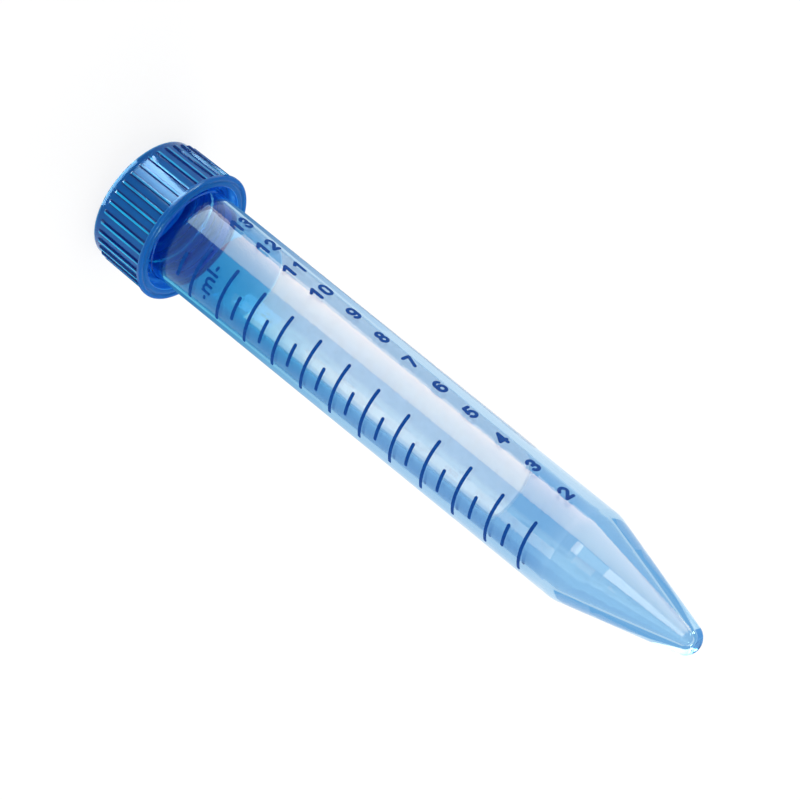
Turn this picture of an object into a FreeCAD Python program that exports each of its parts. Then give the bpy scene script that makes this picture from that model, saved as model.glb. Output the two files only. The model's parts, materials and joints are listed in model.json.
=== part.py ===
"""A 15 ml conical centrifuge tube with its ribbed screw cap, in millimetres.

Every piece is modelled with the tube's mouth up: the tip of the cone is at the origin, +Z runs
up the tube's axis to the cap, and the printed scale faces -Y. The conical tip can't carry the
tube, so at the end each piece is turned over and the whole stands on its flat cap, tip up.
"""
import FreeCAD, Part
import os
from math import acos, atan2, cos, hypot, pi, radians, remainder, sin, tan

# Tube: one clear moulding
body_radius = 8.1           # outside of the straight body
tube_length = 119.8         # from the tip to the rim of the mouth
shoulder_height = 23.7      # from the tip to where the cone meets the body
shoulder_blend = 5.0        # radius of the bend there
wall_at_mouth = 0.65        # the bore narrows a little from the mouth
wall_at_shoulder = 1.5      # down to the shoulder
cone_wall = 1.5
inner_tip_radius = 1.2

neck_thickening = 0.2       # the neck inside the cap is this much fatter than the body
neck_hidden = 0.6           # and starts this far up inside the cap

# Thread around the tube's neck, right-handed
thread_pitch = 3.0
thread_turns = 1.75
thread_height = 0.7
thread_root_width = 1.6
thread_crest_width = 0.7
thread_below_rim = 1.2      # bare neck between the rim and the thread
thread_sink = 0.25          # how deep the ridge is rooted in the wall

# Screw cap: one tinted moulding with a ring inside that plugs the mouth
cap_height = 11.4
cap_top_thickness = 1.3
cap_seat_gap = 0.1          # between the tube's rim and the inside of the cap's top
cap_wall = 1.3              # skirt, between the ribs
cap_thread_clearance = 0.5  # from the crest of the tube's thread to the skirt
cap_draft = 0.15            # the skirt is this much narrower at the top
cap_edge_bevel = 0.4
cap_mouth_bevel = 0.3
flange_height = 0.75
flange_overhang = 0.6
rib_count = 36
rib_width = 0.55
rib_height = 0.35
rib_sink = 0.3
rib_below_top = 1.3         # plain band between the top and the ribs
plug_depth = 2.2
plug_wall = 0.8
plug_clearance = 0.12       # around the plug, in the mouth
plug_bevel = 0.3

# Printed scale on the tube
ink_thickness = 0.05
line_width = 0.6
first_mark_ml = 2
unit_mark_ml = 12.5         # the unit is printed in place of this half mark
scale_clear_of_cap = 0.8    # bare tube between the scale and the cap
long_mark_sweep = 69.0      # degrees around the tube
long_mark_right = -1.3      # right end, in degrees left of the front
half_mark_sweep = 31.5
half_mark_inset = 21.0      # from the right end of the long marks, in degrees
number_right = -58.5        # right edge of the numbers, in degrees left of the front
number_lean = 0.85          # their column leans this many degrees more to the right
number_rise = 0.5           # the numbers stand a little above their marks
digit_height = 2.8
digit_width = 1.9
digit_gap = 0.35
digit_stroke = 0.6
unit_height = 2.4
unit_x_height = 1.8
unit_width = 6.2
unit_stroke = 0.45
unit_left = 53.5            # left end of the unit, in degrees left of the front
print_skew = 1.0            # the whole scale is printed this many degrees clockwise

# White writing patch on the back of the tube
patch_centre = 203.7        # degrees left of the front
patch_sweep = 128.6
patch_bottom = 42.0         # heights above the tip
patch_top = 97.25

# What follows from the sizes above
tip_radius = inner_tip_radius + cone_wall
bore_mouth_radius = body_radius - wall_at_mouth
bore_low_radius = body_radius - wall_at_shoulder
overall_length = tube_length + cap_seat_gap + cap_top_thickness
neck_radius = body_radius + neck_thickening
thread_crest_radius = neck_radius + thread_height
cap_bore_radius = thread_crest_radius + cap_thread_clearance
skirt_radius = cap_bore_radius + cap_wall
cap_rim_height = overall_length - cap_height
neck_foot = cap_rim_height + neck_hidden

FRONT = FreeCAD.Vector(0, -1, 0)
UP = FreeCAD.Vector(0, 0, 1)
ORIGIN = FreeCAD.Vector(0, 0, 0)
BACKWARD = FreeCAD.Vector(0, 1, 0)


# ---- outlines -------------------------------------------------------------------------------

def point(across, height):
    """A point of the upright plane through the axis that faces the front."""
    return FreeCAD.Vector(across, 0, height)


def line(start, end):
    return Part.LineSegment(point(*start), point(*end)).toShape()


def arc(centre, radius, start, end):
    """An arc from one angle to another, in degrees counterclockwise from +X."""
    def at(angle):
        return point(centre[0] + radius * cos(radians(angle)), centre[1] + radius * sin(radians(angle)))
    return Part.Arc(at(start), at((start + end) / 2), at(end)).toShape()


def polyline(corners):
    return [line(a, b) for a, b in zip(corners, corners[1:])]


def face_of(edges):
    return Part.Face(Part.Wire(Part.sortEdges(edges)[0]))


def revolved(edges):
    return face_of(edges).revolve(ORIGIN, UP, 360)


# ---- tube -----------------------------------------------------------------------------------

def cone_angle(radius, height, sphere_radius):
    """Half angle of the cone from a circle down to a sphere that rests on the origin, in radians."""
    rise = height - sphere_radius
    return acos(sphere_radius / hypot(radius, rise)) - atan2(rise, radius)


cone_slope = cone_angle(body_radius, shoulder_height, tip_radius)
# The inside of the cone runs parallel to the outside, one wall away, until it meets the bore.
inner_shoulder_height = shoulder_height - (wall_at_shoulder - cone_wall / cos(cone_slope)) / tan(cone_slope)
inner_tangent_radius = inner_tip_radius * cos(cone_slope)
inner_tangent_height = tip_radius - inner_tip_radius * sin(cone_slope)


def tube_profile():
    slope = cone_slope * 180 / pi
    tangent_radius = tip_radius * cos(cone_slope)
    tangent_height = tip_radius * (1 - sin(cone_slope))
    blend_reach = shoulder_blend * tan(cone_slope / 2)
    blend_low = (body_radius - blend_reach * sin(cone_slope), shoulder_height - blend_reach * cos(cone_slope))
    blend_high = (body_radius, shoulder_height + blend_reach)
    bevel = wall_at_mouth / 4
    rim_low = tube_length - bevel
    outside = [
        arc((0, tip_radius), tip_radius, -90, -slope),
        line((tangent_radius, tangent_height), blend_low),
        arc((body_radius - shoulder_blend, blend_high[1]), shoulder_blend, -slope, 0),
    ]
    rim_and_bore = polyline([
        blend_high, (body_radius, neck_foot), (neck_radius, neck_foot + neck_thickening),
        (neck_radius, rim_low), (neck_radius - bevel, tube_length),
        (bore_mouth_radius + bevel, tube_length), (bore_mouth_radius, rim_low),
        (bore_low_radius, inner_shoulder_height), (inner_tangent_radius, inner_tangent_height),
    ])
    inner_tip = [
        arc((0, tip_radius), inner_tip_radius, -slope, -90),
        line((0, cone_wall), (0, 0)),
    ]
    return outside + rim_and_bore + inner_tip


def thread_ridge():
    """The helical ridge around the neck, with its root inside the wall."""
    root = neck_radius - thread_sink
    rise = thread_pitch * thread_turns
    half_root = thread_root_width / 2
    half_crest = thread_crest_width / 2
    section = Part.Wire(polyline([
        (root, -half_root), (thread_crest_radius, -half_crest), (thread_crest_radius, half_crest),
        (root, half_root), (root, -half_root),
    ]))
    path = Part.Wire(Part.makeHelix(thread_pitch, rise, root).Edges)
    ridge = path.makePipeShell([section], True, True)
    start = tube_length - thread_below_rim - half_root - rise
    ridge.translate(FreeCAD.Vector(0, 0, start))
    return ridge


def tube():
    return revolved(tube_profile()).fuse(thread_ridge())


# ---- cap ------------------------------------------------------------------------------------

def cap_profile():
    top = overall_length
    ceiling = top - cap_top_thickness
    ledge = cap_rim_height + flange_height
    top_radius = skirt_radius - cap_draft
    flange_radius = skirt_radius + flange_overhang
    bevel = flange_height / 4
    plug_radius = bore_mouth_radius - plug_clearance
    plug_end = ceiling - plug_depth
    outside = [
        (0, top), (top_radius - cap_edge_bevel, top), (top_radius, top - cap_edge_bevel),
        (skirt_radius, ledge), (flange_radius - bevel, ledge), (flange_radius, ledge - bevel),
        (flange_radius, cap_rim_height + bevel), (flange_radius - bevel, cap_rim_height),
    ]
    inside = [
        (cap_bore_radius + cap_mouth_bevel, cap_rim_height),
        (cap_bore_radius, cap_rim_height + cap_mouth_bevel),
        (cap_bore_radius, ceiling),
        (plug_radius, ceiling),
        (plug_radius, plug_end + plug_bevel),
        (plug_radius - plug_bevel, plug_end),
        (plug_radius - plug_wall, plug_end),
        (plug_radius - plug_wall, ceiling),
        (0, ceiling),
        (0, top),
    ]
    return polyline(outside + inside)


def grip_ribs():
    """The upright ribs around the skirt, which stand on the flange and lean with the skirt."""
    foot = cap_rim_height + flange_height / 2
    head = overall_length - rib_below_top
    crest = skirt_radius + rib_height
    root = skirt_radius - rib_sink
    half = rib_width / 2
    flank = rib_height - half / 2
    corners = [
        (root, -half), (skirt_radius + flank, -half), (crest, -half / 2),
        (crest, half / 2), (skirt_radius + flank, half), (root, half), (root, -half),
    ]
    section = Part.Face(Part.makePolygon([FreeCAD.Vector(x, y, foot) for x, y in corners]))
    lean = FreeCAD.Vector(-cap_draft, 0, head - foot)
    rib = section.extrude(lean)
    # The head of each rib is bevelled back to the skirt.
    bevel = face_of(polyline([
        (root, head + rib_height), (root, head), (crest + rib_height, head - 2 * rib_height),
        (crest + rib_height, head + rib_height), (root, head + rib_height),
    ])).extrude(FreeCAD.Vector(0, rib_width * 2, 0))
    bevel.translate(FreeCAD.Vector(0, -rib_width, 0))
    rib = rib.cut(bevel)
    ribs = []
    for i in range(rib_count):
        copy = rib.copy()
        copy.rotate(ORIGIN, UP, 360 * i / rib_count)
        ribs.append(copy)
    return ribs


def screw_cap():
    return revolved(cap_profile()).multiFuse(grip_ribs()).removeSplitter()


# ---- printed scale --------------------------------------------------------------------------

def bore_radius(height):
    """Inside radius of the tube at a height above the tip."""
    if height >= inner_shoulder_height:
        share = (height - inner_shoulder_height) / (tube_length - inner_shoulder_height)
        return bore_low_radius + share * (bore_mouth_radius - bore_low_radius)
    if height >= inner_tangent_height:
        return inner_tangent_radius + (height - inner_tangent_height) * tan(cone_slope)
    below = tip_radius - height
    return max(inner_tip_radius ** 2 - below ** 2, 0) ** 0.5


def bore_volume(height, slices=300):
    """Volume in the tube up to a height, in millilitres."""
    step = (height - cone_wall) / slices
    middles = [cone_wall + (i + 0.5) * step for i in range(slices)]
    return sum(pi * bore_radius(h) ** 2 * step for h in middles) / 1000


def fill_height(volume_ml):
    """Height above the tip to which a volume fills the tube."""
    low, high = cone_wall, tube_length
    for _ in range(30):
        middle = (low + high) / 2
        if bore_volume(middle) < volume_ml:
            low = middle
        else:
            high = middle
    return low


def bends(centre, radius, start, end):
    """Corners along an arc, about every 40 degrees, from one angle to another."""
    steps = round(abs(end - start) / 40)
    angles = [radians(start + (end - start) * i / steps) for i in range(steps + 1)]
    return [(centre[0] + radius * cos(a), centre[1] + radius * sin(a)) for a in angles]


def beside(before, here, after, offset):
    """The corner of a stroke's edge, to the left of a corner of its middle line."""
    into = atan2(here[1] - before[1], here[0] - before[0])
    away = atan2(after[1] - here[1], after[0] - here[0])
    if here in (before, after):
        into = away = into + away
    half_turn = remainder(away - into, 2 * pi) / 2
    reach = offset / max(cos(half_turn), 0.7)
    across = into + half_turn + pi / 2
    return (here[0] + reach * cos(across), here[1] + reach * sin(across))


def stroke(corners, width):
    """A pen stroke along a line of corners, with square ends, as a flat face."""
    before = [corners[0]] + corners[:-1]
    after = corners[1:] + [corners[-1]]
    triples = list(zip(before, corners, after))
    left = [beside(*three, width / 2) for three in triples]
    right = [beside(*three, -width / 2) for three in triples]
    outline = left + right[::-1]
    return Part.Face(Part.makePolygon([point(*corner) for corner in outline + outline[:1]]))


def loop_stroke(corners, width):
    """A pen stroke along a line of corners that closes on itself."""
    before = corners[-1:] + corners[:-1]
    after = corners[1:] + corners[:1]
    wires = []
    for offset in (width / 2, -width / 2):
        edge = [point(*beside(*three, offset)) for three in zip(before, corners, after)]
        wires.append(Part.makePolygon(edge + edge[:1]))
    return Part.makeFace(wires, "Part::FaceMakerBullseye")


def ring_stroke(centre, radius, width):
    return loop_stroke(bends(centre, radius, 0, 360)[:-1], width)


def digit_strokes(digit):
    """The pen strokes of a digit. Its height and width are measured between their middles."""
    pen = digit_stroke
    wide = digit_width - pen
    top = digit_height - pen
    bowl = wide / 2
    upper = 0.24 * top
    lower = 0.26 * top
    if digit == "0":
        return [loop_stroke(bends((bowl, top - bowl), bowl, 180, 0) + bends((bowl, bowl), bowl, 0, -180), pen)]
    if digit == "1":
        stem = 0.75 * wide
        return [stroke([(stem, -pen / 2), (stem, top), (0.25 * wide, 0.76 * top)], pen)]
    if digit == "2":
        return [stroke(bends((bowl, top - bowl), bowl, 165, -35) + [(0, 0), (wide + pen / 2, 0)], pen)]
    if digit == "3":
        return [
            stroke(bends((bowl, top - upper), upper, 160, -100), pen),
            stroke(bends((bowl, lower), lower, 100, -160), pen),
        ]
    if digit == "4":
        stem = 0.74 * wide
        bar = 0.28 * top
        return [
            stroke([(stem, -pen / 2), (stem, top), (0, bar)], pen),
            stroke([(stem, top), (0, bar), (wide + pen / 2, bar)], pen),
        ]
    if digit == "5":
        return [stroke([(0.92 * wide, top), (0.2 * wide, top)] + bends((bowl, bowl), bowl, 145, -150), pen)]
    if digit == "6":
        return [
            ring_stroke((bowl, bowl), bowl, pen),
            stroke([(0, bowl)] + bends((bowl, top - bowl), bowl, 180, 40), pen),
        ]
    if digit == "7":
        return [stroke([(-pen / 2, top), (wide, top), (0.35 * wide, -pen / 2)], pen)]
    if digit == "8":
        return [
            ring_stroke((bowl, top - upper), upper, pen),
            ring_stroke((bowl, lower), lower, pen),
        ]
    nine = [each.copy() for each in digit_strokes("6")]
    for each in nine:
        each.rotate(point(bowl, top / 2), BACKWARD, 180)
    return nine


def joined(strokes):
    flat = strokes[0]
    if len(strokes) > 1:
        flat = flat.multiFuse(strokes[1:]).removeSplitter()
    return flat


def moved(flat, across, height):
    copy = flat.copy()
    copy.translate(point(across, height))
    return copy


def unit_glyphs():
    """The letters ml between two dashes. The dashes are at height zero, and it starts at zero."""
    pen = unit_stroke
    half = pen / 2
    base = -unit_x_height / 2
    arch = 0.095 * unit_width
    letter_m = 0.24 * unit_width
    letter_l = 0.76 * unit_width
    shoulder = base + unit_x_height - half - arch
    stems = [letter_m + 2 * arch * i for i in range(3)]
    m_strokes = [stroke([(stems[0], base), (stems[0], base + unit_x_height)], pen)]
    for left, right in zip(stems, stems[1:]):
        m_strokes.append(stroke(bends(((left + right) / 2, shoulder), arch, 180, 0) + [(right, base)], pen))
    return [
        stroke([(0, 0), (0.13 * unit_width, 0)], pen),
        joined(m_strokes),
        stroke([(letter_l, base), (letter_l, base + unit_height)], pen),
        stroke([(0.85 * unit_width, 0), (unit_width, 0)], pen),
    ]


def ink_shell(low, high):
    """A thin layer around the whole tube between two heights."""
    base = FreeCAD.Vector(0, 0, low)
    outer = Part.makeCylinder(body_radius + ink_thickness, high - low, base)
    return outer.cut(Part.makeCylinder(body_radius, high - low, base))


def scale_middle():
    return (fill_height(first_mark_ml) + cap_rim_height) / 2


def printed(flat, degrees_left, height):
    """A flat shape laid onto the tube as ink, around a point of the scale.

    The scale as a whole is turned a little about its middle, so a mark moves round the tube as
    well as up it.
    """
    middle = scale_middle()
    across = -radians(degrees_left) * body_radius
    up = height - middle
    skew = radians(print_skew)
    skewed_across = across * cos(skew) + up * sin(skew)
    skewed_up = up * cos(skew) - across * sin(skew)
    turned = flat.copy()
    turned.rotate(ORIGIN, BACKWARD, print_skew)
    block = turned.extrude(FRONT * (body_radius + 1))
    block.translate(FreeCAD.Vector(0, 0, middle + skewed_up))
    block.rotate(ORIGIN, UP, skewed_across / body_radius * 180 / pi)
    return block.common(ink_shell(middle + skewed_up - 6, middle + skewed_up + 6))


def scale_mark(sweep, right_end, height):
    """A line around the tube, over a sweep in degrees."""
    reach = body_radius * sin(radians(sweep / 2))
    return printed(stroke([(-reach, 0), (reach, 0)], line_width), right_end + sweep / 2, height)


def number(text, height):
    """A number beside its mark, with its right edge on the line where all of them end."""
    inks = []
    right = (height - scale_middle()) * tan(radians(number_lean))
    for character in reversed(text):
        left = right - digit_width
        centred = moved(joined(digit_strokes(character)), -(digit_width - digit_stroke) / 2,
                        -(digit_height - digit_stroke) / 2)
        turn = (left + digit_width / 2) / body_radius * 180 / pi
        inks.append(printed(centred, number_right - turn, height + number_rise))
        right = left - digit_gap
    return inks


def unit_label():
    """The unit, in the place of a half mark."""
    height = fill_height(unit_mark_ml)
    half_angle = unit_width / 2 / body_radius * 180 / pi
    return [printed(moved(glyph, -unit_width / 2, 0), unit_left - half_angle, height)
            for glyph in unit_glyphs()]


def scale_print():
    highest = cap_rim_height - scale_clear_of_cap
    inks = []
    half_steps = 2 * first_mark_ml
    while fill_height(half_steps / 2) < highest:
        volume = half_steps / 2
        height = fill_height(volume)
        if half_steps % 2 == 0:
            inks.append(scale_mark(long_mark_sweep, long_mark_right, height))
            inks.extend(number(str(half_steps // 2), height))
        elif volume == unit_mark_ml:
            inks.extend(unit_label())
        else:
            inks.append(scale_mark(half_mark_sweep, long_mark_right + half_mark_inset, height))
        half_steps += 1
    return Part.makeCompound([solid for ink in inks for solid in ink.Solids])


def writing_patch():
    """A thin white field on the back of the tube, to write on."""
    section = face_of(polyline([
        (body_radius, patch_bottom), (body_radius + ink_thickness, patch_bottom),
        (body_radius + ink_thickness, patch_top), (body_radius, patch_top), (body_radius, patch_bottom),
    ]))
    patch = section.revolve(ORIGIN, UP, patch_sweep)
    # The section faces +X, which is 270 degrees left of the front, and sweeps towards the back.
    patch.rotate(ORIGIN, UP, 270 - patch_centre - patch_sweep / 2)
    return patch


# ---- hand over ------------------------------------------------------------------------------

def standing_on_cap(shape):
    """Turned over about the Y axis and lifted, so that the cap's top is the base, at the origin."""
    turned = shape.copy()
    turned.rotate(ORIGIN, BACKWARD, 180)
    turned.translate(FreeCAD.Vector(0, 0, overall_length))
    return turned


os.makedirs("parts", exist_ok=True)
pieces = {
    "tube": tube(),
    "screw_cap": screw_cap(),
    "scale_print": scale_print(),
    "writing_patch": writing_patch(),
}
for name, shape in pieces.items():
    standing_on_cap(shape).exportStep(f"parts/{name}.step")
    print(name, len(shape.Solids), "solids", round(shape.Volume, 2), "mm3", shape.isValid())
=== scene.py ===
import json
from math import atan2, cos, pi, radians, sin, tan

import bmesh
import bpy
from mathutils import Matrix, Vector

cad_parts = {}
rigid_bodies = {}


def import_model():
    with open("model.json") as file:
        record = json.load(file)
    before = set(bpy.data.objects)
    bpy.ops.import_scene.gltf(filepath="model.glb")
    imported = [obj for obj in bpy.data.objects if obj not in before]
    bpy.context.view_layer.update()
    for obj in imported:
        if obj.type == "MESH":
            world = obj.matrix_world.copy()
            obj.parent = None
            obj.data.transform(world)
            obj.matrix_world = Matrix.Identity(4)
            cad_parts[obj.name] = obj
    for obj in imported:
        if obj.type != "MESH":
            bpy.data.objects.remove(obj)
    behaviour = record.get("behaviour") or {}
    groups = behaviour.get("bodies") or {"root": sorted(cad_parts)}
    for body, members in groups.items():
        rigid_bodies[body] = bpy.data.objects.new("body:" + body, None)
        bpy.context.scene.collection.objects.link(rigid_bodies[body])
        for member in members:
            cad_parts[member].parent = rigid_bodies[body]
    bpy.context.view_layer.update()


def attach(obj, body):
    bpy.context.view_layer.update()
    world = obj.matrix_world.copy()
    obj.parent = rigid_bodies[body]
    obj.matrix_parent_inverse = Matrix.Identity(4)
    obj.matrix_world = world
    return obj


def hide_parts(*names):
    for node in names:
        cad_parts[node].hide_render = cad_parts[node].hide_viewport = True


# The tube and its cap are shaped as the CAD source shapes them: in millimetres, mouth up, with the
# tip at the origin and the printed scale facing -Y. Each finished piece is then turned over, so
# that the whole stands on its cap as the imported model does.

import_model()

MM = 0.001
OVERALL = 121.2             # tip to the cap's top
TURN_OVER = (
    Matrix.Scale(MM, 4)
    @ Matrix.Translation((0, 0, OVERALL))
    @ Matrix.Rotation(pi, 4, "Y")
)

# Tube
BODY_RADIUS = 8.1
SHOULDER = 23.7
CONE_SLOPE = radians(14.203)
NECK_FOOT = 110.4
NECK_RADIUS = 8.3
RIM = 119.8
BORE_MOUTH_RADIUS = 7.45
BORE_LOW_RADIUS = 6.6
BORE_LOW = 23.887           # where the bore's cone starts
BORE_TIP_RADIUS = 0.934     # where it ends, on the tip's wall
TIP_WALL = 1.5
CONE_RING_HEIGHTS = (16.6, 22.8)
BODY_RING_HEIGHT = 24.6
RING_HALF_WIDTH = 0.15      # of the mould's hairline rings
RING_RISE = 0.02

# Thread
PITCH = 3.0
THREAD_TURNS = 1.75
THREAD_START = 112.55
THREAD_REACH = 0.7          # outward, on the tube's neck
CAP_THREAD_REACH = 0.45     # inward, in the cap
THREAD_HALF_ROOT = 0.8
THREAD_HALF_CREST = 0.35
THREAD_TAPER = 0.05         # turns over which an end fades out

# Cap
CAP_RIM = 109.8
LEDGE = 110.55
CEILING = 119.9
PLUG_END = 117.7
PLUG_RADIUS = 7.33
PLUG_WALL = 0.8
FLANGE_RADIUS = 11.4
SKIRT_RADIUS = 10.8         # at the ledge
SKIRT_TOP_RADIUS = 10.644
CAP_BORE_RADIUS = 9.5
GROOVE_RADIUS = 10.5        # middle of the groove round the rim
RIBS = 36
RIB_HEAD = 119.9
RIB_RISE = 0.35
RIB_HALF_SWEEP = 1.5        # degrees from a rib's middle to its foot
RIB_FLANK_SWEEP = 0.6

# Scale
INK_THICKNESS = 0.05
INK_SINK = 0.01             # into the body
LINE_WIDTH = 0.6
FIRST_ML = 2
FIRST_HEIGHT = 29.793       # of the lowest mark above the tip
LAST_ML = 13.5
UNIT_ML = 12.5              # the unit stands in place of this mark
PRINT_SKEW = 1.0            # the whole scale is printed this many degrees clockwise
MARKS_RIGHT = -1.3          # right end of the long marks, in degrees left of the front
LONG_SWEEP = 69.0
SHORT_SWEEP = 31.5
SHORT_INSET = 21.0          # from the right end of the long marks
NUMBER_RIGHT = -58.5        # right edge of the numbers, in degrees left of the front
NUMBER_LEAN = radians(0.85)
NUMBER_RISE = 0.5
DIGIT_HEIGHT = 2.8
DIGIT_WIDTH = 1.9
DIGIT_GAP = 0.35
DIGIT_PEN = 0.6
UNIT_LEFT = 53.5
UNIT_WIDTH = 6.2
UNIT_PEN = 0.45
UNIT_FOOT = -0.9            # heights of the letters about the dashes
UNIT_SMALL_TOP = 0.9
UNIT_TALL_TOP = 1.5
PATCH_CENTRE = 203.7        # degrees left of the front
PATCH_HALF_SWEEP = 64.3
PATCH_BOTTOM = 42.0
PATCH_TOP = 97.25
PATCH_ROUNDING = 0.8
PATCH_LIFT = 0.01           # off the body
STRIP_WIDTH = 0.6           # of the strips that bend a flat print round the body

# Studio, in metres and degrees, with the origin at the middle of the cap's top
CARD_HEIGHT = 0.0004        # of the lights that lie just above the floor
CARD_REACH = 0.25           # from the axis to where they end or rise
OWN_COLOUR_FROM = 0.16      # distance from the axis at which a light has its full colour
SPOT_CENTRE = (0, 0, 0.118)
SPOT_DISTANCE = 0.5         # from that centre, which is near the tip
SPOT_RADIUS = 0.07
OVERHEAD_PLACE = (0.15, 0.5, 0.75)
CAMERA_ELEVATION = 26.65
CAMERA_ROLL = 129.04
CAMERA_DISTANCE = 1.2
CAMERA_LENS = 355.6
AIM_HEIGHT = 0.0612
AIM_LEFT = 0.00263          # as the camera sees it
AIM_UP = 0.00305


# ---- pieces ---------------------------------------------------------------------------------

def clear_scene():
    """Removes the lights and cameras that a new file starts with."""
    for other in list(bpy.data.objects):
        if other.type in ("LIGHT", "CAMERA"):
            bpy.data.objects.remove(other)


def finished(bm, name, material, smooth_below=35, turned=True):
    """The mesh as an object at the origin, standing on its cap, with its normals outward."""
    if turned:
        bmesh.ops.transform(bm, matrix=TURN_OVER, verts=bm.verts)
    bmesh.ops.recalc_face_normals(bm, faces=bm.faces)
    mesh = bpy.data.meshes.new(name)
    bm.to_mesh(mesh)
    bm.free()
    for polygon in mesh.polygons:
        polygon.use_smooth = True
    mesh.set_sharp_from_angle(angle=radians(smooth_below))
    mesh.materials.append(material)
    piece = bpy.data.objects.new(name, mesh)
    bpy.context.scene.collection.objects.link(piece)
    return piece


def even_shading(piece):
    """Lets the large faces rule the shading, so that small bevels don't bend it."""
    weighted = piece.modifiers.new("even_shading", "WEIGHTED_NORMAL")
    weighted.keep_sharp = True
    return piece


def outline(bm, corners, segments=5):
    """A line of edges through corners of (radius, height, rounding), each rounded by its amount."""
    verts = [bm.verts.new((radius, 0, height)) for radius, height, _ in corners]
    for pair in zip(verts, verts[1:]):
        bm.edges.new(pair)
    for vert, (_, _, rounding) in zip(verts, corners):
        if rounding:
            bmesh.ops.bevel(bm, geom=[vert], offset=rounding, offset_type="OFFSET", segments=segments,
                            profile=0.5, affect="VERTICES", material=-1)


def fine_rows(bm, longest, lowest=-1.0, radii=(-1.0, FLANGE_RADIUS + 1)):
    """Cuts the outline's edges above a height, between two radii, to a greatest length."""
    for edge in bm.edges[:]:
        inside = all(vert.co.z > lowest and radii[0] < vert.co.x < radii[1] for vert in edge.verts)
        cuts = int(edge.calc_length() / longest)
        if inside and cuts:
            bmesh.ops.subdivide_edges(bm, edges=[edge], cuts=cuts)


def cone_radius(height):
    """The cone's outer radius at a height above the tip."""
    return BODY_RADIUS - (SHOULDER - height) * tan(CONE_SLOPE)


def hairline_ring(height, radius_at):
    """Three corners of a fine ridge round the tube, which the mould left."""
    below = height - RING_HALF_WIDTH
    above = height + RING_HALF_WIDTH
    crest = (radius_at(height) + RING_RISE, height, 0)
    return [(radius_at(below), below, 0), crest, (radius_at(above), above, 0)]


def spun(bm, steps, angle=2 * pi):
    """Turns the outline round the axis. A full turn is closed."""
    bmesh.ops.spin(bm, geom=bm.verts[:] + bm.edges[:], cent=(0, 0, 0), axis=(0, 0, 1),
                   dvec=(0, 0, 0), angle=angle, steps=steps, use_merge=angle == 2 * pi,
                   use_duplicate=False)
    bmesh.ops.remove_doubles(bm, verts=bm.verts, dist=1e-4)


def thread_rise(angle, height, start, turns):
    """How far a thread stands up at a point, from 0 to 1."""
    best = 0
    for turn in range(-1, 3):
        along = angle / (2 * pi) + turn
        if 0 <= along <= turns:
            away = abs(height - start - PITCH * along)
            rise = min(max((THREAD_HALF_ROOT - away) / (THREAD_HALF_ROOT - THREAD_HALF_CREST), 0), 1)
            taper = min(along / THREAD_TAPER, (turns - along) / THREAD_TAPER, 1)
            best = max(best, rise * taper)
    return best


def raise_thread(bm, radius, low, high, reach, start, turns):
    """Moves a wall's points outward by a reach, or inward by a negative one, along a thread."""
    for vert in bm.verts:
        across = vert.co.xy.length
        on_wall = abs(across - radius) < 0.02
        if on_wall and low < vert.co.z < high:
            angle = atan2(vert.co.y, vert.co.x) % (2 * pi)
            rise = thread_rise(angle, vert.co.z, start, turns)
            vert.co.xy *= (across + reach * rise) / across


def tube(material):
    bm = bmesh.new()
    outline(bm, [
        (0, 0, 0), (cone_radius(0), 0, 2.08),
        *(corner for height in CONE_RING_HEIGHTS for corner in hairline_ring(height, cone_radius)),
        (BODY_RADIUS, SHOULDER, 0.6),
        *hairline_ring(BODY_RING_HEIGHT, lambda height: BODY_RADIUS),
        (BODY_RADIUS, NECK_FOOT, 0), (NECK_RADIUS, NECK_FOOT + 0.2, 0),
        (NECK_RADIUS, RIM, 0.16), (BORE_MOUTH_RADIUS, RIM, 0.16),
        (BORE_LOW_RADIUS, BORE_LOW, 0.7), (BORE_TIP_RADIUS, TIP_WALL, 0.92), (0, TIP_WALL, 0),
    ], segments=8)
    fine_rows(bm, 0.1, lowest=NECK_FOOT + 0.1, radii=(NECK_RADIUS - 0.05, NECK_RADIUS + 0.05))
    fine_rows(bm, 1.6)
    spun(bm, 192)
    raise_thread(bm, NECK_RADIUS, NECK_FOOT + 0.3, RIM - 0.2, THREAD_REACH, THREAD_START, THREAD_TURNS)
    return even_shading(finished(bm, "tube_body", material))


def skirt_radius(height):
    """The skirt's radius between its ribs, which narrows a little towards the cap's top."""
    return SKIRT_RADIUS - (SKIRT_RADIUS - SKIRT_TOP_RADIUS) * (height - LEDGE) / (OVERALL - LEDGE)


def rib_rise(angle, height):
    """How far the grip ribs stand up at a point on the skirt, in millimetres."""
    away = abs((angle / (2 * pi) * RIBS + 0.5) % 1 - 0.5) * 360 / RIBS
    across = min(max((RIB_HALF_SWEEP - away) / RIB_FLANK_SWEEP, 0), 1)
    head = min(max((RIB_HEAD - height) / RIB_RISE, 0), 1)
    return RIB_RISE * across ** 0.5 * head ** 0.5


def raise_ribs(bm):
    """Moves the skirt's points outward along the grip ribs."""
    for vert in bm.verts:
        across = vert.co.xy.length
        on_skirt = abs(across - skirt_radius(vert.co.z)) < 0.01
        if on_skirt and LEDGE - 0.01 < vert.co.z < RIB_HEAD + 0.1:
            vert.co.xy *= (across + rib_rise(atan2(vert.co.y, vert.co.x), vert.co.z)) / across


def rim_groove():
    """Four corners of the shallow groove round the cap's rim, from the outside inward."""
    corners = ((0.25, 0, 0.1), (0.1, 0.14, 0.08), (-0.1, 0.14, 0.08), (-0.25, 0, 0.1))
    return [(GROOVE_RADIUS + across, CAP_RIM + depth, rounding) for across, depth, rounding in corners]


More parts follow.
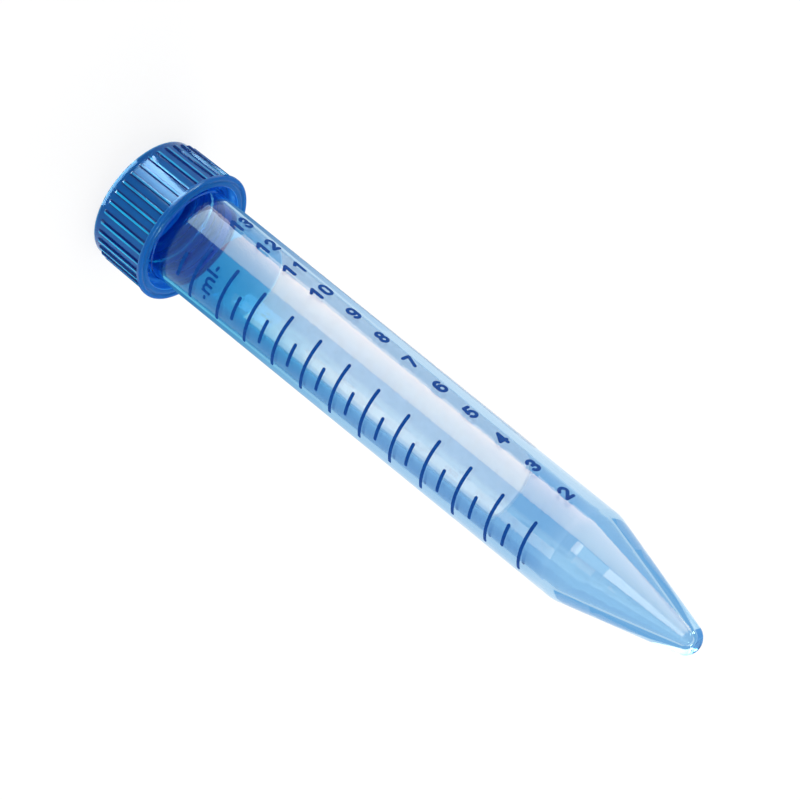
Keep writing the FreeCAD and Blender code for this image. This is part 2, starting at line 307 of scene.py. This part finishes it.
def cap(material):
    bm = bmesh.new()
    rib_head_rows = [RIB_HEAD - drop for drop in (0, 0.13, 0.27, 0.4)]
    outline(bm, [
        (0, OVERALL, 0), (SKIRT_TOP_RADIUS, OVERALL, 0.45),
        *[(skirt_radius(height), height, 0) for height in rib_head_rows],
        (SKIRT_RADIUS, LEDGE, 0), (FLANGE_RADIUS, LEDGE, 0.19), (FLANGE_RADIUS, CAP_RIM, 0.25),
        *rim_groove(),
        (CAP_BORE_RADIUS, CAP_RIM, 0.3), (CAP_BORE_RADIUS, CEILING, 0.25),
        (PLUG_RADIUS, CEILING, 0.15), (PLUG_RADIUS, PLUG_END, 0.25),
        (PLUG_RADIUS - PLUG_WALL, PLUG_END, 0.25), (PLUG_RADIUS - PLUG_WALL, CEILING, 0.2),
        (0, CEILING, 0),
    ])
    fine_rows(bm, 2.0, lowest=CAP_RIM, radii=(SKIRT_TOP_RADIUS - 0.05, SKIRT_RADIUS + 0.05))
    fine_rows(bm, 0.3, radii=(CAP_BORE_RADIUS - 0.01, CAP_BORE_RADIUS + 0.01))
    spun(bm, 720)
    raise_ribs(bm)
    raise_thread(bm, CAP_BORE_RADIUS, CAP_RIM + 0.35, CEILING - 0.3, -CAP_THREAD_REACH,
                 THREAD_START - PITCH / 2, THREAD_TURNS + 0.5)
    return even_shading(finished(bm, "cap_shell", material, smooth_below=40))


# ---- printed scale --------------------------------------------------------------------------

def fill_height(volume_ml):
    """Height above the tip to which a volume fills the bore, which widens evenly to the mouth."""
    widening = (BORE_MOUTH_RADIUS - BORE_LOW_RADIUS) / (RIM - BORE_LOW)
    low = BORE_LOW_RADIUS + widening * (FIRST_HEIGHT - BORE_LOW)
    radius = (low ** 3 + 3 * widening * (volume_ml - FIRST_ML) * 1000 / pi) ** (1 / 3)
    return FIRST_HEIGHT + (radius - low) / widening


def scale_middle():
    """The height about which the skewed scale is turned."""
    return (FIRST_HEIGHT + CAP_RIM) / 2


def left(degrees):
    """Where a place that many degrees left of the front lies on the flat scale."""
    return -radians(degrees) * BODY_RADIUS


def add_field(bm, low, high, rounding):
    """A flat rectangle with rounded corners between two points of the scale."""
    middle = Matrix.Translation(((low[0] + high[0]) / 2, (low[1] + high[1]) / 2, 0))
    size = Matrix.Diagonal((high[0] - low[0], high[1] - low[1], 1, 1))
    made = bmesh.ops.create_grid(bm, x_segments=1, y_segments=1, size=0.5, matrix=middle @ size)
    bmesh.ops.bevel(bm, geom=made["verts"], offset=rounding, offset_type="OFFSET", segments=5,
                    profile=0.5, affect="VERTICES", material=-1)


def bend(centre, radius, start, end):
    """Points along an arc between two angles in degrees, one about every 18."""
    steps = round(abs(end - start) / 18)
    angles = [radians(start + (end - start) * i / steps) for i in range(steps + 1)]
    return [(centre[0] + radius * cos(angle), centre[1] + radius * sin(angle)) for angle in angles]


def pen_stroke(bm, path, pen, place):
    """A flat stroke of a round pen along a path. A path that ends where it starts is a loop."""
    points = [Vector((x, y, 0)) + place for x, y in path]
    loop = (points[0] - points[-1]).length < 1e-6
    befores = [points[-2] if loop else points[0]] + points[:-1]
    afters = points[1:] + [points[1] if loop else points[-1]]
    sections = [(here, (after - before).normalized(), pen / 2)
                for before, here, after in zip(befores, points, afters)]
    if not loop:
        for end in (0, -1):
            middle, along, half = sections[end]
            outward = along if end else -along
            tips = [(middle + outward * half * sin(radians(turn)), along, half * cos(radians(turn)))
                    for turn in (30, 55, 80)]
            sections = sections + tips if end else tips[::-1] + sections
    middle, along, half = sections[0]
    side = Vector((-along.y, along.x, 0)) * half
    edge = bm.edges.new([bm.verts.new(middle + side), bm.verts.new(middle - side)])
    for next_middle, along, half in sections[1:]:
        next_side = Vector((-along.y, along.x, 0)) * half
        made = bmesh.ops.extrude_edge_only(bm, edges=[edge])["geom"]
        new_verts = [each for each in made if isinstance(each, bmesh.types.BMVert)]
        for vert in new_verts:
            sign = 1 if (vert.co - middle).dot(side) > 0 else -1
            vert.co = next_middle + next_side * sign
        edge = bm.edges.get(new_verts)
        middle, side = next_middle, next_side


def add_glyph(bm, strokes, pen, across, height):
    """Pen strokes at a point of the scale, each a hair above the one before, where they cross."""
    hair = 0.002
    for level, path in enumerate(strokes):
        pen_stroke(bm, path, pen, Vector((across, height, hair * level)))


def digit_strokes(digit):
    """The pen strokes of a digit, whose lower left corner is at the origin."""
    wide = DIGIT_WIDTH - DIGIT_PEN
    top = DIGIT_HEIGHT - DIGIT_PEN
    bowl = wide / 2
    upper = 0.24 * top
    lower = 0.26 * top
    bar = 0.28 * top
    stem = 0.74 * wide
    hook = bend((bowl, bowl), bowl, 145, -150)
    strokes = {
        "0": [bend((bowl, top - bowl), bowl, 180, 0) + bend((bowl, bowl), bowl, 0, -180)
              + [(0, top - bowl)]],
        "1": [[(0.75 * wide, 0), (0.75 * wide, top)], [(0.75 * wide, top), (0.25 * wide, 0.76 * top)]],
        "2": [bend((bowl, top - bowl), bowl, 165, -35) + [(0, 0)], [(0, 0), (wide, 0)]],
        "3": [bend((bowl, top - upper), upper, 160, -100), bend((bowl, lower), lower, 100, -160)],
        "4": [[(stem, 0), (stem, top)], [(stem, top), (0, bar)], [(0, bar), (wide, bar)]],
        "5": [[(0.92 * wide, top), (0.2 * wide, top)], [(0.2 * wide, top), hook[0]], hook],
        "6": [bend((bowl, bowl), bowl, 0, 360), [(0, bowl)] + bend((bowl, top - bowl), bowl, 180, 40)],
        "7": [[(0, top), (wide, top)], [(wide, top), (0.35 * wide, 0)]],
        "8": [bend((bowl, top - upper), upper, 0, 360), bend((bowl, lower), lower, 0, 360)],
    }
    if digit == "9":
        return [[(wide - x, top - y) for x, y in path] for path in strokes["6"]]
    return strokes[digit]


def add_number(bm, text, height):
    """A number beside its mark, with its right edge on the line where all of them end."""
    right = left(NUMBER_RIGHT) + (height - scale_middle()) * tan(NUMBER_LEAN)
    for digit in reversed(text):
        add_glyph(bm, digit_strokes(digit), DIGIT_PEN, right - DIGIT_WIDTH + DIGIT_PEN / 2,
                  height + NUMBER_RISE - (DIGIT_HEIGHT - DIGIT_PEN) / 2)
        right -= DIGIT_WIDTH + DIGIT_GAP


def add_unit(bm, height):
    """The letters ml between two dashes."""
    half = UNIT_PEN / 2
    foot = UNIT_FOOT + half
    top = UNIT_SMALL_TOP - half
    arch = 0.095 * UNIT_WIDTH
    first_stem = 0.24 * UNIT_WIDTH
    tall_stem = 0.76 * UNIT_WIDTH
    strokes = [[(half, 0), (0.13 * UNIT_WIDTH - half, 0)], [(first_stem, foot), (first_stem, top)]]
    for i in range(2):
        arch_middle = first_stem + (2 * i + 1) * arch
        strokes.append(bend((arch_middle, top - arch), arch, 180, 0) + [(arch_middle + arch, foot)])
    strokes.append([(tall_stem, foot), (tall_stem, UNIT_TALL_TOP - half)])
    strokes.append([(0.85 * UNIT_WIDTH + half, 0), (UNIT_WIDTH - half, 0)])
    add_glyph(bm, strokes, UNIT_PEN, left(UNIT_LEFT), height)


def wrapped(bm, name, material, skew=0.0, about=0.0, base=BODY_RADIUS - INK_SINK):
    """A flat print, turned by its skew, cut into narrow strips and laid round the tube's body."""
    bmesh.ops.rotate(bm, cent=(0, about, 0), matrix=Matrix.Rotation(-radians(skew), 3, "Z"), verts=bm.verts)
    bmesh.ops.remove_doubles(bm, verts=bm.verts, dist=1e-5)
    lowest = min(vert.co.x for vert in bm.verts)
    highest = max(vert.co.x for vert in bm.verts)
    strips = int((highest - lowest) / STRIP_WIDTH) + 1
    for i in range(1, strips):
        across = lowest + (highest - lowest) * i / strips
        bmesh.ops.bisect_plane(bm, geom=bm.verts[:] + bm.edges[:] + bm.faces[:], dist=1e-6,
                               plane_co=(across, 0, 0), plane_no=(1, 0, 0))
    made = bmesh.ops.extrude_face_region(bm, geom=bm.faces[:], use_keep_orig=True)
    top = [each for each in made["geom"] if isinstance(each, bmesh.types.BMVert)]
    bmesh.ops.translate(bm, verts=top, vec=(0, 0, BODY_RADIUS + INK_THICKNESS - base))
    for vert in bm.verts:
        angle = vert.co.x / BODY_RADIUS
        radius = base + vert.co.z
        vert.co = (radius * sin(angle), -radius * cos(angle), vert.co.y)
    return finished(bm, name, material)


def add_mark(bm, height, right, sweep):
    """A line of the scale with round ends. Its right end is in degrees left of the front."""
    half_line = LINE_WIDTH / 2
    rounding = 0.98 * half_line
    add_field(bm, (left(right + sweep), height - half_line), (left(right), height + half_line), rounding)


def scale(material):
    """Long marks with their numbers at each millilitre, short ones at the halves, and the unit."""
    bm = bmesh.new()
    for half_steps in range(2 * FIRST_ML, round(2 * LAST_ML) + 1):
        volume_ml = half_steps / 2
        height = fill_height(volume_ml)
        if volume_ml == UNIT_ML:
            add_unit(bm, height)
        elif volume_ml % 1:
            add_mark(bm, height, MARKS_RIGHT + SHORT_INSET, SHORT_SWEEP)
        else:
            add_number(bm, str(int(volume_ml)), height)
            add_mark(bm, height, MARKS_RIGHT, LONG_SWEEP)
    return wrapped(bm, "scale_ink", material, skew=PRINT_SKEW, about=scale_middle())


def patch(material):
    bm = bmesh.new()
    add_field(bm, (left(PATCH_CENTRE + PATCH_HALF_SWEEP), PATCH_BOTTOM),
              (left(PATCH_CENTRE - PATCH_HALF_SWEEP), PATCH_TOP), PATCH_ROUNDING)
    return wrapped(bm, "writing_field", material, base=BODY_RADIUS + PATCH_LIFT)


# ---- materials ------------------------------------------------------------------------------

def set_inputs(tree, node, inputs):
    """Sets inputs of a node, each to a value or to another node's output."""
    for key, value in inputs.items():
        if isinstance(value, bpy.types.NodeSocket):
            tree.links.new(value, node.inputs[key])
        else:
            node.inputs[key].default_value = value


def put(tree, kind, inputs=None, **settings):
    """A new node with its settings and inputs."""
    node = tree.nodes.new(kind)
    for key, value in settings.items():
        setattr(node, key, value)
    set_inputs(tree, node, inputs or {})
    return node


def calc(tree, operation, *values):
    return put(tree, "ShaderNodeMath", dict(enumerate(values)), operation=operation).outputs[0]


def product(tree, first, *factors):
    for factor in factors:
        first = calc(tree, "MULTIPLY", first, factor)
    return first


def step_between(tree, value, low, high):
    """0 up to one value and 1 from the other on, with a smooth step between them."""
    return put(tree, "ShaderNodeMapRange", {"Value": value, "From Min": low, "From Max": high},
               interpolation_type="SMOOTHSTEP").outputs["Result"]


def blend_colour(tree, factor, first, second):
    node = put(tree, "ShaderNodeMix", {0: factor}, data_type="RGBA")
    for socket, colour in ((node.inputs[6], first), (node.inputs[7], second)):
        if isinstance(colour, bpy.types.NodeSocket):
            tree.links.new(colour, socket)
        else:
            socket.default_value = (*colour, 1)
    return node.outputs[2]


def noise(tree, where, scale):
    return put(tree, "ShaderNodeTexNoise", {"Vector": where, "Scale": scale, "Detail": 3.0}).outputs[0]


def rough_between(tree, where, scale, low, high):
    """A roughness that wavers between two values."""
    speckle = noise(tree, where, scale)
    mapped = put(tree, "ShaderNodeMapRange", {"Value": speckle, "To Min": low, "To Max": high})
    return mapped.outputs["Result"]


def bumpy(tree, where, scale, strength, distance):
    """A normal that noise disturbs."""
    relief = noise(tree, where, scale)
    bump = put(tree, "ShaderNodeBump", {"Height": relief, "Strength": strength, "Distance": distance})
    return bump.outputs["Normal"]


def axis_distance(tree, where):
    flat = put(tree, "ShaderNodeVectorMath", {0: where, 1: (1, 1, 0)}, operation="MULTIPLY")
    return put(tree, "ShaderNodeVectorMath", {0: flat.outputs["Vector"]}, operation="LENGTH").outputs["Value"]


def new_material(name):
    made = bpy.data.materials.new(name)
    made.use_nodes = True
    tree = made.node_tree
    where = put(tree, "ShaderNodeTexCoord").outputs["Object"]
    return made, tree, tree.nodes["Principled BSDF"], where


def shader_material(name):
    """A material without the usual shader, for one of its own."""
    made = bpy.data.materials.new(name)
    made.use_nodes = True
    tree = made.node_tree
    tree.nodes.remove(tree.nodes["Principled BSDF"])
    return made, tree


def show(tree, shader, socket="Surface"):
    tree.links.new(shader.outputs[0], tree.nodes["Material Output"].inputs[socket])


def mixed_shaders(tree, factor, first, second):
    return put(tree, "ShaderNodeMixShader", {0: factor, 1: first.outputs[0], 2: second.outputs[0]})


def behind_patch(tree, where, height):
    """1 where the wall carries the writing patch, and 0 elsewhere."""
    rotation = (0, 0, -radians(PATCH_CENTRE - 90))
    turned = put(tree, "ShaderNodeMapping", {"Vector": where, "Rotation": rotation})
    axes = put(tree, "ShaderNodeSeparateXYZ", {0: turned.outputs[0]})
    angle = calc(tree, "ABSOLUTE", calc(tree, "ARCTAN2", axes.outputs["Y"], axes.outputs["X"]))
    side = radians(PATCH_HALF_SWEEP)
    top = (OVERALL - PATCH_TOP) * MM
    bottom = (OVERALL - PATCH_BOTTOM) * MM
    soft_side = radians(0.2)
    soft_end = 0.1 * MM
    return product(
        tree,
        step_between(tree, angle, side + soft_side, side - soft_side),
        step_between(tree, height, top - soft_end, top + soft_end),
        step_between(tree, height, bottom + soft_end, bottom - soft_end),
    )


def clear_tube():
    made, tree, shader, where = new_material("clear_blue_tinted_plastic")
    axes = put(tree, "ShaderNodeSeparateXYZ", {0: where})
    height = axes.outputs["Z"]
    # Painted shade: the tint deepens towards the mouth, and sooner on one side, as the cap's blue shadow
    # would darken it.
    slant = 2.4
    towards_mouth = calc(tree, "MULTIPLY_ADD", axes.outputs["X"], slant, product(tree, height, -1.0))
    painted_cap_shade = step_between(tree, towards_mouth, -0.0495, -0.0065)
    # Painted light: the wall that faces the writing patch holds less of the tint than the rest, so that the
    # patch shows brighter through it.
    brightened_side = (-0.407, -0.914, 0)
    facing = put(tree, "ShaderNodeVectorMath", {0: where, 1: brightened_side}, operation="DOT_PRODUCT")
    behind = step_between(tree, facing.outputs["Value"], 0.0050, 0.0010)
    light_tint = blend_colour(tree, behind, (0.72, 0.84, 0.955), (0.29, 0.52, 0.76))
    cap_shade_tint = blend_colour(tree, behind, (0.06, 0.5, 0.76), (0.03, 0.40, 0.67))
    tint = blend_colour(tree, painted_cap_shade, light_tint, cap_shade_tint)
    # The cone has one even tint, which starts lower at the back than in front.
    sloped = calc(tree, "MULTIPLY_ADD", axes.outputs["Y"], 0.5, height)
    on_cone = step_between(tree, sloped, 0.089, 0.097)
    tint = blend_colour(tree, on_cone, tint, (0.54, 0.725, 0.885))
    # Painted light: the wall that carries the writing patch is painted white, without its tint, so that the
    # patch shows brighter.
    colour = blend_colour(tree, behind_patch(tree, where, height), tint, (1.0, 1.0, 1.0))
    set_inputs(tree, shader, {
        "Base Color": colour, "Transmission Weight": 1.0, "IOR": 1.49,
        "Specular Tint": (0.45, 0.8, 1.0, 1),
        "Roughness": rough_between(tree, where, 900, 0.01, 0.05),
        "Normal": bumpy(tree, where, 120, 0.06, 0.0005),
    })
    # A ray that was reflected goes straight through the walls, so that its light isn't lost in them.
    reflected = put(tree, "ShaderNodeLightPath").outputs["Is Reflection Ray"]
    straight = put(tree, "ShaderNodeBsdfTransparent", {"Color": (0.80, 0.91, 0.98, 1)})
    show(tree, mixed_shaders(tree, reflected, shader, straight))
    depth_colour = (0.056, 0.519, 0.831, 1)
    depth_tint = put(tree, "ShaderNodeVolumeAbsorption", {"Color": depth_colour, "Density": 110.0})
    show(tree, depth_tint, "Volume")
    return made


def blue_cap():
    made, tree, shader, where = new_material("translucent_blue_plastic")
    axes = put(tree, "ShaderNodeSeparateXYZ", {0: where})
    height = axes.outputs["Z"]
    across = axis_distance(tree, where)
    turn = calc(tree, "ARCTAN2", axes.outputs["Y"], axes.outputs["X"])
    # Degrees from the middle of the nearest grip rib
    away = product(tree, calc(tree, "PINGPONG", product(tree, turn, RIBS / (2 * pi)), 0.5), 360 / RIBS)
    rib_head = (OVERALL - RIB_HEAD) * MM
    ledge = (OVERALL - LEDGE) * MM
    skirt = product(
        tree,
        step_between(tree, across, 0.0100, 0.0102),
        step_between(tree, height, rib_head - 0.0001, rib_head + 0.0001),
        step_between(tree, height, ledge, ledge - 0.00015),
    )
    body = blend_colour(tree, noise(tree, where, 260), (0.0, 0.080, 0.33), (0.0, 0.115, 0.42))
    # Painted shade and highlight: the ribs' flanks are painted dark as shade, and their crests pale as a
    # patchy highlight.
    painted_flank_shade = product(tree, skirt, step_between(tree, away, 2.6, 1.9), 0.8)
    body = blend_colour(tree, painted_flank_shade, body, (0.010, 0.012, 0.16))
    patchy = step_between(tree, noise(tree, where, 90), 0.2, 0.7)
    crest = product(tree, skirt, step_between(tree, away, 1.15, 0.6), patchy)
    body = blend_colour(tree, crest, body, (0.01, 0.46, 0.84))
    # Painted highlights: the edges of the top and of the flange are painted pale, as if catching light.
    top_edge_highlight = step_between(tree, height, 0.0006, 0.0002)
    flange_edge_highlight = product(tree, step_between(tree, across, 0.01115, 0.0113),
                          step_between(tree, height, 0.0109, 0.0105))
    edges = product(tree, calc(tree, "MAXIMUM", top_edge_highlight, flange_edge_highlight), 0.7)
    body = blend_colour(tree, edges, body, (0.06, 0.48, 0.85))
    # Painted light: the wall's inside is painted paler, as if lit through the wall.
    inner = step_between(tree, across, 0.00965, 0.00955)
    body = blend_colour(tree, inner, body, (0.04, 0.33, 0.85))
    set_inputs(tree, shader, {
        "Base Color": body, "IOR": 1.5, "Specular IOR Level": 0.4, "Specular Tint": (0.3, 0.75, 1.0, 1),
        "Subsurface Weight": 0.6, "Subsurface Radius": (0.3, 0.8, 1.0), "Subsurface Scale": 0.0015,
        "Roughness": rough_between(tree, where, 700, 0.12, 0.22),
        "Normal": bumpy(tree, where, 400, 0.1, 0.0003),
    })
    return made


def scale_ink():
    made, tree, shader, where = new_material("printed_blue_ink")
    density = step_between(tree, noise(tree, where, 2600), 0.3, 0.7)
    set_inputs(tree, shader, {
        "Base Color": blend_colour(tree, density, (0.0, 0.045, 0.26), (0.0, 0.075, 0.34)),
        "Roughness": 0.5, "Specular IOR Level": 0.06,
        "Normal": bumpy(tree, where, 5000, 0.3, 0.00005),
    })
    return made


def patch_ink():
    made, tree, shader, where = new_material("white_writing_patch")
    mottle = step_between(tree, noise(tree, where, 1400), 0.3, 0.7)
    colour = blend_colour(tree, mottle, (0.90, 0.91, 0.92), (0.96, 0.96, 0.97))
    set_inputs(tree, shader, {
        "Base Color": colour, "Roughness": 0.6,
        "Normal": bumpy(tree, where, 6000, 0.4, 0.00005),
    })
    see_through = 0.72
    translucent = put(tree, "ShaderNodeBsdfTranslucent", {"Color": colour})
    show(tree, mixed_shaders(tree, see_through, shader, translucent))
    return made


# ---- studio ---------------------------------------------------------------------------------

def seen_directly(tree):
    """1 for rays of the camera, of reflections and through clear plastic, and 0 for the rest."""
    path = put(tree, "ShaderNodeLightPath")
    either = calc(tree, "MAXIMUM", path.outputs["Is Camera Ray"], path.outputs["Is Glossy Ray"])
    return calc(tree, "MAXIMUM", either, path.outputs["Is Transmission Ray"])


def white_world():
    world = bpy.data.worlds.new("studio")
    world.use_nodes = True
    tree = world.node_tree
    sky = blend_colour(tree, seen_directly(tree), (0.9, 0.9, 0.9), (1, 1, 1))
    set_inputs(tree, tree.nodes["Background"], {"Color": sky})
    bpy.context.scene.world = world


def floor():
    made, tree = shader_material("pale_floor")
    matt = put(tree, "ShaderNodeBsdfDiffuse", {"Color": (0.93, 0.93, 0.93, 1)})
    glow = put(tree, "ShaderNodeEmission", {"Color": (1, 1, 1, 1), "Strength": 1.0})
    glowing = product(tree, seen_directly(tree), 0.8)
    show(tree, mixed_shaders(tree, glowing, matt, glow))
    bm = bmesh.new()
    bmesh.ops.create_grid(bm, x_segments=2, y_segments=2, size=3.0)
    finished(bm, "floor", made, turned=False)


def reflection_only(card):
    """Sets a card of light so that nothing but reflections shows it."""
    card.visible_camera = False
    card.visible_diffuse = False
    card.visible_transmission = False
    card.visible_volume_scatter = False
    card.visible_shadow = False


def softbox(name, corners, first, last, colour, strength, dimmed=1.0, near_colour=None):
    """A softbox or a flag that only reflections show, swept round the tube between two directions.

    The directions are in degrees from the front towards -X. It is dimmed towards the first of them.
    Its colour changes outward from near_colour.
    """
    made, tree = shader_material(name)
    where = put(tree, "ShaderNodeTexCoord").outputs["Object"]
    axes = put(tree, "ShaderNodeSeparateXYZ", {0: where})
    leftward = product(tree, axes.outputs["X"], -1.0)
    frontward = product(tree, axes.outputs["Y"], -1.0)
    direction = calc(tree, "ARCTAN2", leftward, frontward)
    power = put(tree, "ShaderNodeMapRange", {
        "Value": direction, "From Min": radians(first), "From Max": radians(last),
        "To Min": strength * dimmed, "To Max": strength,
    }).outputs["Result"]
    outward = step_between(tree, axis_distance(tree, where), corners[0][0], OWN_COLOUR_FROM)
    shade = blend_colour(tree, outward, near_colour or colour, colour)
    show(tree, put(tree, "ShaderNodeEmission", {"Color": shade, "Strength": power}))
    bm = bmesh.new()
    outline(bm, [(radius, height, 0) for radius, height in corners])
    bmesh.ops.rotate(bm, cent=(0, 0, 0), matrix=Matrix.Rotation(radians(-90 - last), 3, "Z"), verts=bm.verts)
    spun(bm, 24, radians(last - first))
    reflection_only(finished(bm, name, made, turned=False))


def spot(name, turn, rise, strength):
    """A small round light off the tip that only reflections show.

    It lies at a turn from the front towards -X and at a rise, both in degrees.
    """
    made, tree = shader_material(name)
    show(tree, put(tree, "ShaderNodeEmission", {"Color": (1.0, 0.8, 0.6, 1), "Strength": strength}))
    turn, rise = radians(turn), radians(rise)
    away = Vector((-sin(turn) * cos(rise), -cos(turn) * cos(rise), sin(rise)))
    place = Vector(SPOT_CENTRE) + away * SPOT_DISTANCE
    bm = bmesh.new()
    bmesh.ops.create_icosphere(bm, subdivisions=3, radius=SPOT_RADIUS, matrix=Matrix.Translation(place))
    reflection_only(finished(bm, name, made, turned=False))


def flat_card(inner, outer):
    """The outline of a card that lies just above the floor between two radii."""
    return (inner, CARD_HEIGHT), (outer, CARD_HEIGHT)


def light_cards():
    # The long stripe down the tube: a wedge on the floor that rises at its far end.
    softbox("softbox_cap", flat_card(0.0124, 0.031), 12, 41, (0.95, 0.85, 0.9), 30.0, dimmed=0.2)
    softbox("softbox_foot", flat_card(0.031, 0.0455), 17.4, 70, (1.0, 0.92, 0.83), 8.6, dimmed=0.8)
    softbox("softbox_long", (*flat_card(0.0455, CARD_REACH), (CARD_REACH, 0.16)), 17.4, 70,
            (1.0, 0.43, 0.22), 13.5, dimmed=0.6)
    # A weaker stripe beside it
    softbox("softbox_weak", flat_card(0.09, 0.21), -54, -30, (1.0, 0.51, 0.32), 5.0, dimmed=0.8)
    # Broader and dimmer lights, high enough that only the cone shows them
    beyond = CARD_REACH + 0.002
    softbox("softbox_high", ((beyond, 0.1205), (beyond, 0.17)), -10, 16, (1.0, 0.5, 0.3), 14.0, dimmed=0.9)
    softbox("softbox_side", ((beyond, 0.112), (beyond, 0.121)), -30, -10, (1.0, 0.5, 0.3), 5.0, dimmed=0.9)
    # A thin light beside the edge of the cap's top
    softbox("softbox_edge", ((0.0106, 0.0002), (0.0114, 0.0002)), -28, 22, (0.9, 0.95, 1.0), 16.0, dimmed=0.8)
    spot("spot_near", 72, 27, 30.0)
    spot("spot_far", -80, 74, 30.0)
    # Blue flags behind, which keep the edges of the plastic from going white.
    for name, first, last in (("flag_right", -178, -110), ("flag_left", 110, 178)):
        softbox(name, ((0.0118, 0.0003), (0.16, 0.0003)), first, last, (0.85, 0.93, 1.0), 1.0,
                near_colour=(0.02, 0.2, 0.45))
    softbox("flag_above", ((CARD_REACH, 0.06), (CARD_REACH, 0.3)), 110, 250, (0.36, 0.62, 0.84), 1.0)


def overhead_light():
    """A broad soft lamp above and a little behind."""
    lamp = bpy.data.lights.new("overhead", "AREA")
    lamp.shape = "DISK"
    lamp.size = 0.8
    lamp.energy = 4.0
    holder = bpy.data.objects.new("overhead", lamp)
    place = Vector(OVERHEAD_PLACE)
    holder.matrix_world = Matrix.Translation(place) @ place.to_track_quat("Z", "Y").to_matrix().to_4x4()
    holder.visible_glossy = False
    bpy.context.scene.collection.objects.link(holder)


def camera():
    """Looks down on the standing tube and is rolled, so that the tube lies across the view."""
    elevation = radians(CAMERA_ELEVATION)
    roll = radians(CAMERA_ROLL)
    away = Vector((0, -cos(elevation), sin(elevation)))
    level = Vector((1, 0, 0))
    upward = Vector((0, sin(elevation), cos(elevation)))
    right = level * cos(roll) + upward * sin(roll)
    up = upward * cos(roll) - level * sin(roll)
    aim = Vector((0, 0, AIM_HEIGHT)) - right * AIM_LEFT + up * AIM_UP
    data = bpy.data.cameras.new("camera")
    data.lens = CAMERA_LENS
    data.clip_start = 0.05
    data.clip_end = 20
    holder = bpy.data.objects.new("camera", data)
    place = Matrix((right, up, away)).transposed().to_4x4()
    place.translation = aim + away * CAMERA_DISTANCE
    holder.matrix_world = place
    bpy.context.scene.collection.objects.link(holder)
    bpy.context.scene.camera = holder


# ---- the whole ------------------------------------------------------------------------------

clear_scene()
made_pieces = (
    (tube(clear_tube()), "tube", "tube", "clear_tube"),
    (cap(blue_cap()), "cap", "screw_cap", "blue_cap"),
    (scale(scale_ink()), "tube", "scale_print", "scale_ink"),
    (patch(patch_ink()), "tube", "writing_patch", "patch_ink"),
)
for piece, body, node_name, slot_name in made_pieces:
    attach(piece, body)
    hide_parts(node_name)

white_world()
floor()
light_cards()
overhead_light()
camera()
bpy.context.scene.view_settings.view_transform = "Standard"
